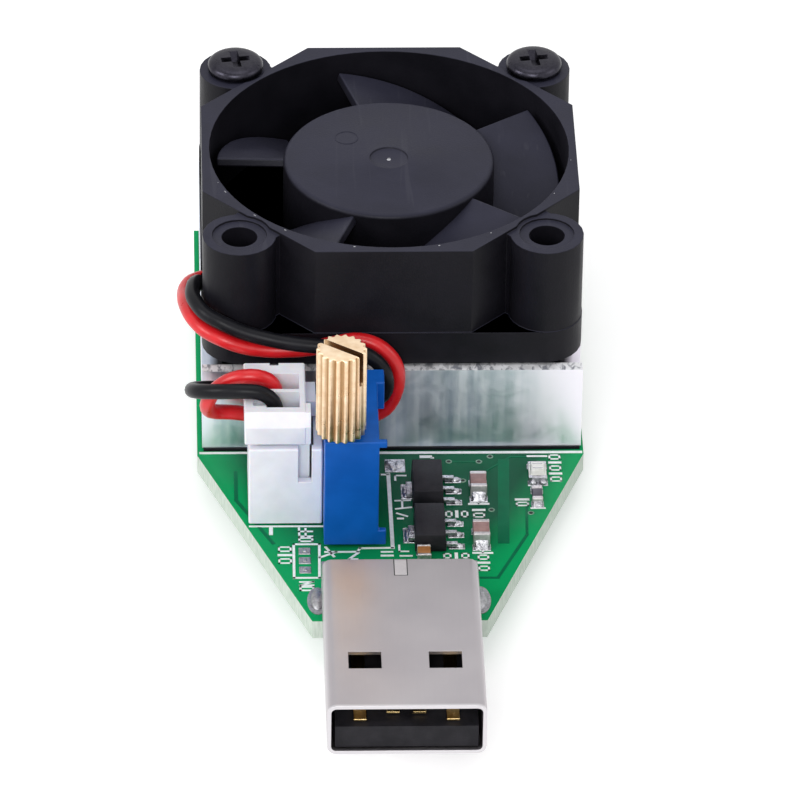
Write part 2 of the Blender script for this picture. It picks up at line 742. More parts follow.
def build_fan_frame():
    """Square flange, eight-sided barrel, four corner bosses, and the motor seat on its struts."""
    flange_top = FAN_BOTTOM + FLANGE_THICKNESS
    inside = FAN_BOTTOM + FLANGE_THICKNESS / 2
    piece = span_block(
        "fan_frame",
        (-FAN_WIDTH / 2, FAN_Y - FAN_WIDTH / 2, FAN_BOTTOM),
        (FAN_WIDTH / 2, FAN_Y + FAN_WIDTH / 2, flange_top),
        BLACK_MOULDING,
        corner=FLANGE_CORNER,
        corner_steps=6,
    )
    barrel = octagon("fan_barrel", BARREL_WIDTH, inside, FAN_TOP, BLACK_MOULDING)
    join(piece, barrel)
    reach = HOLE_PITCH / 2 * math.sqrt(2)
    web_length = reach - FAN_BORE / 2 + BEARING_TUBE_WALL
    for index, (x, y) in enumerate(corner_places()):
        boss = rod(f"fan_boss_{index}", BOSS_RADIUS, inside, BOSS_TOP, (x, y), BLACK_MOULDING)
        angle = math.atan2(y - FAN_Y, x)
        middle = reach - web_length / 2
        web = block(
            f"fan_web_{index}",
            (web_length, BOSS_WEB_WIDTH, BOSS_TOP - inside),
            (middle * math.cos(angle), FAN_Y + middle * math.sin(angle), (BOSS_TOP + inside) / 2),
            BLACK_MOULDING,
            turn=angle,
        )
        join(piece, boss, web)
    high = FAN_TOP + SEAT_GAP
    low = FAN_BOTTOM - SEAT_GAP
    bore = as_cutter(rod("fan_bore", FAN_BORE / 2, low, high, (0, FAN_Y), TIN, BORE_STEPS))
    cut(piece, bore)
    join(piece, build_motor_seat())
    holes = rod_set("fan_screw_holes", FAN_HOLE / 2, low, high, corner_places())
    sink_floor = BOSS_TOP - COUNTERBORE_DEPTH
    sinks = rod_set("fan_counterbores", COUNTERBORE / 2, sink_floor, high, corner_places())
    relief_radius = SCREW_HEAD_RADIUS + BORE_GAP
    reliefs = rod_set("fan_head_reliefs", relief_radius, BOSS_TOP, high, corner_places())
    notch_reach = FAN_WIDTH / 2
    notch = block_set(
        "fan_lead_notch",
        (FAN_WIDTH / 4, LEAD_NOTCH_WIDTH, LEAD_NOTCH_HEIGHT),
        [
            (
                notch_reach * math.cos(LEAD_ANGLE),
                FAN_Y + notch_reach * math.sin(LEAD_ANGLE),
                FAN_BOTTOM + LEAD_NOTCH_FLOOR + LEAD_NOTCH_HEIGHT / 2,
            )
        ],
        [LEAD_ANGLE],
    )
    return cut(piece, holes, sinks, reliefs, notch)


def build_motor_seat():
    """The round plate under the motor with its bearing tube, on three struts."""
    plate_radius = HUB_RADIUS
    plate_top = HUB_PLATE_THICKNESS
    tube_floor = HUB_PLATE_THICKNESS / 2
    profile = [
        (0.0, BEARING_TUBE_HEIGHT),
        (BEARING_TUBE_RADIUS, BEARING_TUBE_HEIGHT),
        (BEARING_TUBE_RADIUS, plate_top),
        (plate_radius, plate_top),
        (plate_radius, 0.0),
        (0.0, 0.0),
    ]
    seat = turned("motor_seat", profile, (0, FAN_Y, FAN_BOTTOM), BLACK_MOULDING, closed=False)
    strut_length = FAN_BORE / 2 + BEARING_TUBE_WALL - plate_radius / 2
    middle = plate_radius / 2 + strut_length / 2
    for index in range(STRUT_COUNT):
        angle = LEAD_ANGLE + index * math.tau / STRUT_COUNT
        strut = block(
            f"fan_strut_{index}",
            (strut_length, STRUT_WIDTH, STRUT_HEIGHT - SOLDER_GAP),
            (
                middle * math.cos(angle),
                FAN_Y + middle * math.sin(angle),
                FAN_BOTTOM + (STRUT_HEIGHT + SOLDER_GAP) / 2,
            ),
            BLACK_MOULDING,
            turn=angle,
        )
        join(seat, strut)
    hollow = rod(
        "bearing_hollow",
        BEARING_TUBE_BORE,
        FAN_BOTTOM + tube_floor,
        FAN_BOTTOM + BEARING_TUBE_HEIGHT + SEAT_GAP,
        (0, FAN_Y),
        TIN,
    )
    return cut(seat, as_cutter(hollow))


def make_axis(name, place):
    """An empty on a joint's axis, which carries what turns about it."""
    axis = bpy.data.objects.new(name, None)
    axis.empty_display_size = FAN_WIDTH / 3
    axis.location = place
    PARTS.objects.link(axis)
    return axis


def blade_surface(index):
    """One raked blade: a grid bent round the hub, high at its leading edge."""
    work = bmesh.new()
    bmesh.ops.create_grid(work, x_segments=6, y_segments=3, size=0.5)
    root = HUB_RADIUS - HUB_WALL / 2
    tip = FAN_BORE / 2 - BLADE_TIP_GAP
    low = BLADE_BOTTOM_LIFT + BLADE_THICKNESS / 2
    rise = FAN_HEIGHT - BLADE_TOP_DROP - BLADE_THICKNESS / 2 - low
    middle = BLADE_FIRST_ANGLE + index * math.tau / BLADE_COUNT
    for vertex in work.verts:
        along = vertex.co.x + 0.5
        out = vertex.co.y + 0.5
        radius = root + out * (tip - root)
        angle = middle + (along - 0.5) * BLADE_SPAN_ANGLE
        height = low + rise * (along + BLADE_CAMBER * math.sin(math.pi * along))
        vertex.co = (radius * math.cos(angle), radius * math.sin(angle), min(height, low + rise))
    return work


def build_rotor(axis):
    """The hub cup with five blades moulded on."""
    hole = SHAFT_RADIUS + SLEEVE_GAP
    under = HUB_TOP - HUB_TOP_THICKNESS
    profile = [
        (DIMPLE_RADIUS, HUB_TOP),
        (HUB_RADIUS - HUB_EDGE, HUB_TOP),
        (HUB_RADIUS - HUB_EDGE * 0.3, HUB_TOP - HUB_EDGE * 0.3),
        (HUB_RADIUS, HUB_TOP - HUB_EDGE),
        (HUB_RADIUS, HUB_BOTTOM),
        (HUB_RADIUS - HUB_WALL, HUB_BOTTOM),
        (HUB_RADIUS - HUB_WALL, under),
        (HUB_BOSS_RADIUS, under),
        (HUB_BOSS_RADIUS, under - HUB_BOSS_HEIGHT),
        (hole, under - HUB_BOSS_HEIGHT),
        (hole, HUB_TOP - DIMPLE_DEPTH),
        (DIMPLE_RADIUS - DIMPLE_DEPTH, HUB_TOP - DIMPLE_DEPTH),
    ]
    rotor = turned("fan_rotor", profile, (0, 0, 0), BLACK_MOULDING)
    rotor.parent = axis
    for index in range(BLADE_COUNT):
        name = f"blade_{index}"
        blade = place_mesh(name, mesh_from(name, blade_surface(index)), BLACK_MOULDING, (0, 0, 0))
        blade.parent = axis
        wall = blade.modifiers.new("thickness", "SOLIDIFY")
        wall.thickness = BLADE_THICKNESS
        wall.offset = 0.0
        join(rotor, blade)
    return rotor


def build_motor(axis):
    """What turns with the rotor, and the bearing and winding that stand still inside it."""
    magnet = ring(
        "fan_magnet_ring",
        MAGNET_RADIUS,
        MAGNET_RADIUS - MAGNET_WALL,
        MAGNET_BOTTOM,
        MAGNET_BOTTOM + MAGNET_HEIGHT,
        (0, 0, 0),
        FERRITE,
    )
    magnet.parent = axis
    floor = HUB_PLATE_THICKNESS / 2 + SEAT_GAP
    shaft_top = HUB_TOP - DIMPLE_DEPTH
    shaft = rod("fan_shaft", SHAFT_RADIUS, floor, shaft_top, (0, 0), PLATED_STEEL)
    shaft.parent = axis
    sleeve_top = min(BEARING_TUBE_HEIGHT, HUB_TOP - HUB_TOP_THICKNESS - HUB_BOSS_HEIGHT - SEAT_GAP)
    centre = (0, FAN_Y, FAN_BOTTOM)
    ring(
        "fan_bearing_sleeve",
        SLEEVE_RADIUS,
        SHAFT_RADIUS + SLEEVE_GAP,
        floor,
        sleeve_top,
        centre,
        BRONZE,
        SMALL_ROUND_STEPS,
    )
    board_low = HUB_PLATE_THICKNESS + SEAT_GAP
    board_high = board_low + MOTOR_BOARD_THICKNESS
    board_radius = HUB_RADIUS - 2 * SEAT_GAP
    ring("fan_motor_board", board_radius, STATOR_BORE, board_low, board_high, centre, GREEN_MASK)
    build_stator(centre)


def build_stator(centre):
    """A laminated core with four poles, each with its own coil."""
    low = STATOR_BOTTOM
    high = low + STATOR_HEIGHT
    inside_low = low + SOLDER_GAP
    inside_high = high - SOLDER_GAP
    hub_radius = STATOR_BORE + STATOR_HUB_WALL
    core = ring("fan_stator_core", hub_radius, STATOR_BORE, low, high, centre, PLATED_STEEL)
    shoe_inner = STATOR_RADIUS - POLE_SHOE_THICKNESS
    middle = (low + high) / 2 + FAN_BOTTOM
    shoes = ring("stator_shoes", STATOR_RADIUS, shoe_inner, low, high, centre, PLATED_STEEL)
    opening_size = (2 * STATOR_RADIUS + SEAT_GAP, POLE_OPENING, STATOR_HEIGHT + SEAT_GAP)
    for index in range(2):
        turn = math.pi / 4 + index * math.pi / 2
        cut(shoes, block_set(f"stator_opening_{index}", opening_size, [(0, FAN_Y, middle)], [turn]))
    arm_start = (STATOR_BORE + hub_radius) / 2
    arm_end = STATOR_RADIUS - POLE_SHOE_THICKNESS / 2
    arm_middle = (arm_start + arm_end) / 2
    join(core, shoes)
    for index in range(4):
        angle = index * math.pi / 2
        arm = block(
            f"stator_arm_{index}",
            (arm_end - arm_start, POLE_WIDTH, inside_high - inside_low),
            (arm_middle * math.cos(angle), FAN_Y + arm_middle * math.sin(angle), middle),
            PLATED_STEEL,
            turn=angle,
        )
        join(core, arm)
    coil_middle = (hub_radius + shoe_inner) / 2
    for index in range(4):
        angle = index * math.pi / 2
        window = (POLE_WIDTH + 2 * SOLDER_GAP, STATOR_HEIGHT + 2 * SOLDER_GAP)
        place = (coil_middle * math.cos(angle), FAN_Y + coil_middle * math.sin(angle), middle)
        coil = block(
            f"fan_coil_{index + 1}",
            (COIL_LENGTH, window[0] + COIL_WALL * 2, window[1] + COIL_WALL),
            place,
            COPPER,
            turn=angle,
        )
        hollow_size = (COIL_LENGTH + SEAT_GAP, window[0], window[1])
        cut(coil, block_set(f"coil_window_{index}", hollow_size, [place], [angle]))


def build_fasteners():
    """Two long pan-head screws through fan, heat sink and board, each with its nut below."""
    for side, place in rear_places().items():
        head = SCREW_SEAT + SCREW_HEAD_HEIGHT
        profile = [
            (0.0, SCREW_HEAD_HEIGHT),
            (SCREW_HEAD_RADIUS * 0.78, SCREW_HEAD_HEIGHT * 0.94),
            (SCREW_HEAD_RADIUS * 0.95, SCREW_HEAD_HEIGHT * 0.74),
            (SCREW_HEAD_RADIUS, SCREW_HEAD_HEIGHT * 0.40),
            (SCREW_HEAD_RADIUS, 0.0),
            (SCREW_RADIUS, 0.0),
            (SCREW_RADIUS, -SCREW_LENGTH),
            (0.0, -SCREW_LENGTH),
        ]
        screw = turned(
            f"mounting_screw_{side}",
            profile,
            (*place, SCREW_SEAT),
            BLACK_STEEL,
            SMALL_ROUND_STEPS,
            closed=False,
        )
        recess_height = RECESS_DEPTH * 2
        centre = (*place, head)
        arms = [
            block_set(f"recess_{side}_{index}", size, [centre])
            for index, size in enumerate(
                [(RECESS_LENGTH, RECESS_WIDTH, recess_height), (RECESS_WIDTH, RECESS_LENGTH, recess_height)]
            )
        ]
        cut(screw, *arms)
        nut_top = BOARD_BOTTOM - SOLDER_GAP
        nut = rod(
            f"mounting_nut_{side}",
            NUT_FLATS / math.sqrt(3),
            nut_top - NUT_THICKNESS,
            nut_top,
            place,
            PLATED_STEEL,
            6,
        )
        nut_bore = rod_set(
            f"nut_bore_{side}",
            SCREW_RADIUS + BORE_GAP / 2,
            nut_top - NUT_THICKNESS - SEAT_GAP,
            nut_top + SEAT_GAP,
            [place],
        )
        cut(nut, nut_bore)


def build_trimmer(axis):
    """The blue case, its three leads and the knurled brass knob on the adjusting screw."""
    case = span_block(
        "trimmer_body",
        (TRIMMER_X - TRIMMER_WIDTH / 2, TRIMMER_FRONT, TRIMMER_BOTTOM),
        (TRIMMER_X + TRIMMER_WIDTH / 2, TRIMMER_FRONT + TRIMMER_LENGTH, TRIMMER_TOP),
        BLUE_CASE,
        corner=SOLDER_GAP,
        corner_steps=1,
        upright_only=False,
    )
    side = TRIMMER_X + TRIMMER_WIDTH / 2
    recess_rear = TRIMMER_FRONT + TRIMMER_LENGTH - TRIMMER_REAR_LIP
    recess_top = TRIMMER_TOP - TRIMMER_TOP_LIP
    recess = span_block(
        "trimmer_recess",
        (side - TRIMMER_RECESS_DEPTH, TRIMMER_FRONT - SEAT_GAP, TRIMMER_BOTTOM + TRIMMER_FOOT_HEIGHT),
        (side + SEAT_GAP, recess_rear, recess_top),
        TIN,
    )
    upper_recess = span_block(
        "trimmer_upper_recess",
        (side - TRIMMER_RECESS_DEPTH, TRIMMER_FRONT + TRIMMER_CORNER_LIP, recess_top - SOLDER_GAP),
        (side + SEAT_GAP, recess_rear, TRIMMER_TOP + SEAT_GAP),
        TIN,
    )
    screw_floor = TRIMMER_TOP - TRIMMER_SCREW_DEPTH
    hole = rod_set(
        "trimmer_screw_hole",
        TRIMMER_SCREW_HOLE / 2,
        screw_floor,
        TRIMMER_TOP + SEAT_GAP,
        [(KNOB_X, KNOB_Y)],
    )
    pocket_top = TRIMMER_BOTTOM + TRIMMER_LEAD_DEPTH + SEAT_GAP
    pockets = rod_set(
        "trimmer_lead_pockets",
        TRIMMER_LEAD_RADIUS + SOLDER_GAP,
        TRIMMER_BOTTOM - SEAT_GAP,
        pocket_top,
        trimmer_lead_places(),
        THIN_LEAD_STEPS,
    )
    cut(case, as_cutter(recess), as_cutter(upper_recess), hole, pockets)
    lead_top = TRIMMER_BOTTOM + TRIMMER_LEAD_DEPTH
    for index, place in enumerate(trimmer_lead_places()):
        name = f"trimmer_lead_{index + 1}"
        rod(name, TRIMMER_LEAD_RADIUS, LEG_END, lead_top, place, TIN, THIN_LEAD_STEPS)
    build_knob(axis, screw_floor)


def build_knob(axis, screw_floor):
    """A splined brass cylinder with a screwdriver slot and the screw's shank below."""
    work = bmesh.new()
    bmesh.ops.create_cone(
        work,
        cap_ends=True,
        segments=KNOB_SPLINES * 4,
        radius1=KNOB_RADIUS,
        radius2=KNOB_RADIUS,
        depth=KNOB_HEIGHT,
        matrix=Matrix.Translation((0, 0, KNOB_HEIGHT / 2)),
    )
    for vertex in work.verts:
        angle = math.atan2(vertex.co.y, vertex.co.x)
        depth = SPLINE_DEPTH * (0.5 - 0.5 * math.cos(KNOB_SPLINES * angle))
        flat = Vector((vertex.co.x, vertex.co.y, 0.0))
        vertex.co -= flat.normalized() * depth
    caps = [face for face in work.faces if abs(face.normal.z) > 0.5]
    rims = list({edge for face in caps for edge in face.edges})
    bmesh.ops.bevel(
        work,
        geom=rims,
        offset=KNOB_CHAMFER,
        offset_type="OFFSET",
        segments=1,
        profile=0.5,
        affect="EDGES",
        material=-1,
    )
    knob = place_mesh("trimmer_knob", mesh_from("trimmer_knob", work), BRASS, (0, 0, 0))
    knob.parent = axis
    shank_radius = TRIMMER_SCREW_HOLE / 2 - BORE_GAP
    shank_low = screw_floor + SEAT_GAP - KNOB_BOTTOM
    shank = rod("knob_shank", shank_radius, shank_low, KNOB_HEIGHT / 4, (0, 0), BRASS)
    shank.parent = axis
    join(knob, shank)
    slot = block(
        "knob_slot",
        (3 * KNOB_RADIUS, KNOB_SLOT_WIDTH, 2 * KNOB_SLOT_DEPTH),
        (0, 0, KNOB_HEIGHT),
        TIN,
        turn=KNOB_SLOT_ANGLE,
    )
    slot.parent = axis
    cut(knob, as_cutter(slot))


def build_connector():
    """The board header, its pins, and the fan's plug pushed home in it."""
    half = HEADER_WIDTH / 2
    header = span_block(
        "connector_header",
        (CONNECTOR_X - half, HEADER_FRONT, HEADER_BOTTOM),
        (CONNECTOR_X + half, HEADER_FRONT + HEADER_LENGTH, HEADER_TOP),
        WHITE_NYLON,
        corner=SOLDER_GAP,
        corner_steps=1,
        upright_only=False,
    )
    floor = HEADER_BOTTOM + HEADER_FLOOR
    cavity_height = HEADER_TOP - floor + SEAT_GAP
    cavity = block_set(
        "header_cavity",
        (HEADER_WIDTH - 2 * HEADER_WALL, HEADER_LENGTH - 2 * HEADER_WALL, cavity_height),
        [(CONNECTOR_X, HEADER_Y, floor + cavity_height / 2)],
    )
    slot_low = BOARD_TOP + HEADER_SLOT_FLOOR
    slot_height = HEADER_TOP - slot_low + SEAT_GAP
    slot = block_set(
        "header_slot",
        (HEADER_SLOT_WIDTH, 3 * HEADER_WALL, slot_height),
        [(CONNECTOR_X + HEADER_SLOT_OFFSET, HEADER_FRONT, slot_low + slot_height / 2)],
    )
    pin_hole = PIN_WIDTH + 2 * SOLDER_GAP
    holes = block_set(
        "header_pin_holes",
        (pin_hole, pin_hole, 4 * HEADER_FLOOR),
        [(x, y, HEADER_BOTTOM) for x, y in pin_places()],
    )
    cut(header, cavity, slot, holes)
    build_plug(floor)
    pin_top = BOARD_TOP + PIN_HEIGHT
    for index, (x, y) in enumerate(pin_places()):
        block(
            f"header_pin_{index + 1}",
            (PIN_WIDTH, PIN_WIDTH, pin_top - LEG_END),
            (x, y, (pin_top + LEG_END) / 2),
            TIN,
            corner=SOLDER_GAP,
            corner_steps=1,
        )


def build_plug(floor):
    """The plug's body in the header, its wider top, and the crimped contacts in its pockets."""
    gap = HEADER_WALL + SEAT_GAP
    body_low = floor + SEAT_GAP
    body_width = HEADER_WIDTH - 2 * gap
    body_length = HEADER_LENGTH - 2 * gap
    top_x = CONNECTOR_X + PLUG_TOP_OFFSET
    left = top_x - PLUG_TOP_WIDTH / 2
    right = top_x + PLUG_TOP_WIDTH / 2
    rear = PLUG_FRONT + PLUG_TOP_LENGTH
    plug = span_block(
        "connector_plug",
        (left, PLUG_FRONT, PLUG_TOP_BOTTOM),
        (right, rear, PLUG_TOP),
        WHITE_NYLON,
        corner=SOLDER_GAP,
        corner_steps=1,
        upright_only=False,
    )
    collar = span_block(
        "plug_collar",
        (right - PLUG_COLLAR_REACH, PLUG_FRONT + SOLDER_GAP / 2, PLUG_TOP_BOTTOM + SOLDER_GAP / 2),
        (right + PLUG_COLLAR_REACH, PLUG_FRONT + PLUG_COLLAR_LENGTH, PLUG_TOP - SOLDER_GAP / 2),
        WHITE_NYLON,
    )
    rib_rear = rear - PLUG_RIB_FROM_REAR
    rib = span_block(
        "plug_rib",
        (right - PLUG_COLLAR_REACH, rib_rear - PLUG_RIB_LENGTH, PLUG_TOP_BOTTOM + SOLDER_GAP),
        (right + PLUG_RIB_REACH, rib_rear, PLUG_TOP_BOTTOM + PLUG_RIB_HEIGHT),
        WHITE_NYLON,
    )
    body_high = PLUG_TOP_BOTTOM + PLUG_TOP_HEIGHT / 3
    body = block(
        "plug_body",
        (body_width, body_length, body_high - body_low),
        (CONNECTOR_X, HEADER_Y, (body_low + body_high) / 2),
        WHITE_NYLON,
    )
    join(plug, collar, rib, body)
    pocket_low = body_low - SEAT_GAP
    pocket_high = PLUG_TOP + SEAT_GAP
    pocket_x = CONNECTOR_X + WIRE_POCKET_OFFSET
    pockets = block_set(
        "plug_pockets",
        (WIRE_POCKET_WIDTH, WIRE_POCKET_LENGTH, pocket_high - pocket_low),
        [(pocket_x, y, (pocket_high + pocket_low) / 2) for x, y in pin_places()],
    )
    groove_width = LEAD_DIAMETER + 2 * BORE_GAP
    groove_x = pocket_x - WIRE_POCKET_WIDTH / 2
    front_groove_y = PIN_FRONT_Y
    rear_groove_y = PIN_FRONT_Y + PIN_PITCH - WIRE_GROOVE_SHIFT
    grooves = block_set(
        "plug_wire_grooves",
        (2 * WIRE_GROOVE_LENGTH, groove_width, 2 * WIRE_GROOVE_DEPTH),
        [(groove_x, y, PLUG_TOP) for y in (front_groove_y, rear_groove_y)],
    )
    notch = block_set(
        "plug_rear_notch",
        (PLUG_NOTCH_WIDTH, 2 * PLUG_NOTCH_DEPTH, PLUG_TOP_HEIGHT),
        [(top_x, rear, PLUG_TOP)],
    )
    cut(plug, build_slope_cutter(left, right), pockets, grooves, notch)
    crimp_low = body_low
    pin_hole = PIN_WIDTH + 2 * SOLDER_GAP
    for index, (x, y) in enumerate(pin_places()):
        centre = (x, y, crimp_low + CRIMP_HEIGHT / 2)
        crimp = block(f"crimp_contact_{index + 1}", (CRIMP_WIDTH, CRIMP_WIDTH, CRIMP_HEIGHT), centre, TIN)
        hollow = block_set(f"crimp_hollow_{index}", (pin_hole, pin_hole, 2 * CRIMP_HEIGHT), [centre])
        cut(crimp, hollow)


def build_slope_cutter(left, right):
    """What the sloped front edge of the plug's top is cut with: a long three-sided bar."""
    work = bmesh.new()
    rise = PLUG_SLOPE_HEIGHT / PLUG_SLOPE_LENGTH
    front = PLUG_FRONT - SEAT_GAP
    rear = PLUG_FRONT + PLUG_SLOPE_LENGTH + SEAT_GAP
    low = PLUG_TOP - PLUG_SLOPE_HEIGHT - SEAT_GAP * rise
    high = PLUG_TOP + SEAT_GAP * rise
    corners = [(front, low), (rear, high), (front, high)]
    face = work.faces.new([work.verts.new((left - SEAT_GAP, y, z)) for y, z in corners])
    moved = bmesh.ops.extrude_face_region(work, geom=[face])["geom"]
    reach = right - left + PLUG_COLLAR_REACH + 2 * SEAT_GAP
    ends = [item for item in moved if isinstance(item, bmesh.types.BMVert)]
    bmesh.ops.translate(work, vec=(reach, 0, 0), verts=ends)
    bmesh.ops.recalc_face_normals(work, faces=work.faces)
    return as_cutter(place_mesh("plug_slope", mesh_from("plug_slope", work), TIN, (0, 0, 0)))


def shell_tube(name, width, height, low_y, high_y, corner):
    """A rounded oblong bar along the plug."""
    work = bmesh.new()
    bmesh.ops.create_cube(work, size=1.0)
    length = high_y - low_y
    bmesh.ops.scale(work, vec=(width, length, height), verts=work.verts)
    edges = [edge for edge in work.edges if abs((edge.verts[0].co - edge.verts[1].co).y) > length / 2]
    bmesh.ops.bevel(
        work,
        geom=edges,
        offset=corner,
        offset_type="OFFSET",
        segments=4,
        profile=0.5,
        affect="EDGES",
        material=-1,
    )
    centre = (0, (low_y + high_y) / 2, SHELL_BOTTOM + SHELL_HEIGHT / 2)
    return place_mesh(name, mesh_from(name, work), PLATED_STEEL, centre)


def build_shell():
    """The folded steel shell: a thin tube with four windows and two solder legs."""
    shell = shell_tube("usb_shell", SHELL_WIDTH, SHELL_HEIGHT, PLUG_TIP, SHELL_REAR, SHELL_CORNER)
    ear_x = (SHELL_WIDTH - SHELL_WALL) / 2
    ear_low = SHELL_BOTTOM + SHELL_CORNER
    ear_high = ear_low + SHELL_EAR_HEIGHT
    ear_rear = shell_leg_y() + SHELL_LEG_LENGTH / 2
    ear_front = SHELL_REAR - SHELL_CORNER
    for side in (-1, 1):
        x = side * ear_x
        ear = block(
            f"shell_ear_{side}",
            (SHELL_WALL, ear_rear - ear_front, ear_high - ear_low),
            (x, (ear_rear + ear_front) / 2, (ear_high + ear_low) / 2),
            PLATED_STEEL,
        )
        leg_high = (ear_high + ear_low) / 2
        leg = block(
            f"shell_leg_{side}",
            (SHELL_WALL, SHELL_LEG_LENGTH, leg_high - LEG_END),
            (x, shell_leg_y(), (leg_high + LEG_END) / 2),
            PLATED_STEEL,
        )
        join(ear, leg)
        join(shell, ear)
    hollow = shell_tube(
        "shell_hollow",
        SHELL_WIDTH - 2 * SHELL_WALL,
        SHELL_HEIGHT - 2 * SHELL_WALL,
        PLUG_TIP - SEAT_GAP,
        SHELL_REAR + SEAT_GAP,
        SHELL_CORNER - SHELL_WALL,
    )
    window_y = PLUG_TIP + WINDOW_FROM_TIP
    window_z = SHELL_BOTTOM + SHELL_HEIGHT / 2
    windows = block_set(
        "shell_windows",
        (WINDOW_WIDTH, WINDOW_LENGTH, 2 * SHELL_HEIGHT),
        [(side * WINDOW_SPACING / 2, window_y, window_z) for side in (-1, 1)],
    )
    return cut(shell, as_cutter(hollow), windows)


def build_insulator():
    """The black tongue along the bottom of the plug and the block that fills its rear."""
    half = SHELL_WIDTH / 2 - SHELL_WALL - BORE_GAP
    tongue_half = half - SOLDER_GAP
    low = SHELL_BOTTOM + SHELL_WALL + SOLDER_GAP
    tongue_top = low + TONGUE_HEIGHT
    top = SHELL_BOTTOM + SHELL_HEIGHT - SHELL_WALL - SOLDER_GAP
    block_front = SHELL_REAR - INSULATOR_BLOCK_LENGTH
    tongue = span_block(
        "usb_insulator",
        (-tongue_half, PLUG_TIP + TONGUE_SETBACK, low),
        (tongue_half, SHELL_REAR - INSULATOR_BLOCK_LENGTH / 2, tongue_top),
        BLACK_MOULDING,
    )
    rear_block = span_block(
        "insulator_block",
        (-half, block_front, low + SOLDER_GAP),
        (half, SHELL_REAR, top),
        BLACK_MOULDING,
        corner=SOLDER_GAP,
        corner_steps=1,
        upright_only=False,
    )
    join(tongue, rear_block)
    channel_low = tongue_top - CHANNEL_SINK
    channel_high = tongue_top + CONTACT_THICKNESS + 2 * SOLDER_GAP
    channels = block_set(
        "contact_channels",
        (CONTACT_WIDTH + 2 * BORE_GAP, 2 * INSULATOR_BLOCK_LENGTH, channel_high - channel_low),
        [(x, SHELL_REAR, (channel_low + channel_high) / 2) for x in contact_columns()],
    )
    cut(tongue, channels)
    contact_low = tongue_top + SOLDER_GAP
    for index, x in enumerate(contact_columns()):
        build_contact(index, x, contact_low)


def build_contact(index, x, low):
    """A flat strip on the tongue that turns down into the board."""
    rear = contact_leg_y() + CONTACT_THICKNESS / 2
    high = low + CONTACT_THICKNESS
    inner = abs(x) < CONTACT_OUTER_SPACING / 2
    setback = CONTACT_INNER_SETBACK if inner else CONTACT_OUTER_SETBACK
    strip = span_block(
        f"usb_contact_{index + 1}",
        (x - CONTACT_WIDTH / 2, PLUG_TIP + setback, low),
        (x + CONTACT_WIDTH / 2, rear, high),
        GOLD,
    )
    leg_high = low + CONTACT_THICKNESS / 2
    narrow = CONTACT_WIDTH - SOLDER_GAP
    leg = span_block(
        f"contact_leg_{index}",
        (x - narrow / 2, rear - CONTACT_THICKNESS, LEG_END),
        (x + narrow / 2, rear - CONTACT_THICKNESS / 4, leg_high),
        GOLD,
    )
    join(strip, leg)


def chip_piece(name, size, x, y, material, corner=0.0):
    """A small part standing on the board."""
    low = BOARD_TOP + SOLDER_GAP
    centre = (x, y, low + size[2] / 2)
    return block(name, size, centre, material, corner=corner, corner_steps=2, upright_only=False)


def build_regulator(name, y):
    """A small power chip with three leads on one side and its wide tab on the other."""
    low = BOARD_TOP + SOLDER_GAP
    work_size = (REGULATOR_WIDTH, REGULATOR_LENGTH, REGULATOR_HEIGHT)
    chip = chip_piece(name, work_size, REGULATOR_X, y, BLACK_EPOXY, corner=SOLDER_GAP)
    lead_z = low + SOLDER_GAP + REGULATOR_LEAD_THICKNESS / 2
    side = REGULATOR_X + REGULATOR_WIDTH / 2
    lead_size = (2 * REGULATOR_LEAD_REACH, REGULATOR_LEAD_WIDTH, REGULATOR_LEAD_THICKNESS)
    leads = block_set(
        name + "_leads",
        lead_size,
        [(side, y + offset * REGULATOR_LEAD_PITCH, lead_z) for offset in (-1, 0, 1)],
    )
    tab_size = (2 * REGULATOR_TAB_REACH, REGULATOR_TAB_WIDTH, REGULATOR_LEAD_THICKNESS)
    tab = block_set(name + "_tab", tab_size, [(REGULATOR_X - REGULATOR_WIDTH / 2, y, lead_z)])
    join(chip, leads, tab)


def build_top_parts():
    """The small parts on the top of the board, right of the trimmer."""
    build_regulator("regulator_rear", BOARD_NOSE + REGULATOR_REAR_FROM_NOSE)
    build_regulator("regulator_front", BOARD_NOSE + REGULATOR_FRONT_FROM_NOSE)
    edge = SOLDER_GAP / 2
    rear = BOARD_NOSE + CAPACITOR_REAR_FROM_NOSE
    front = BOARD_NOSE + CAPACITOR_FRONT_FROM_NOSE
    chip_piece("capacitor_rear", CAPACITOR_SIZE, CAPACITOR_X, rear, CERAMIC, edge)
    chip_piece("capacitor_front", CAPACITOR_SIZE, CAPACITOR_X, front, CERAMIC, edge)
    chip_piece("power_led", LED_SIZE, LED_X, BOARD_NOSE + LED_FROM_NOSE, LED_CASE, edge)
    chip_piece("led_resistor", RESISTOR_SIZE, RESISTOR_X, BOARD_NOSE + RESISTOR_FROM_NOSE, CERAMIC, edge)
    small_y = BOARD_NOSE + SMALL_CAPACITOR_FROM_NOSE
    chip_piece("small_capacitor", SMALL_CAPACITOR_SIZE, SMALL_CAPACITOR_X, small_y, CERAMIC, edge)


def under_piece(name, size, x, y, material):
    """A part hanging under the board."""
    high = BOARD_BOTTOM - SOLDER_GAP
    return block(name, size, (x, y, high - size[2] / 2), material)


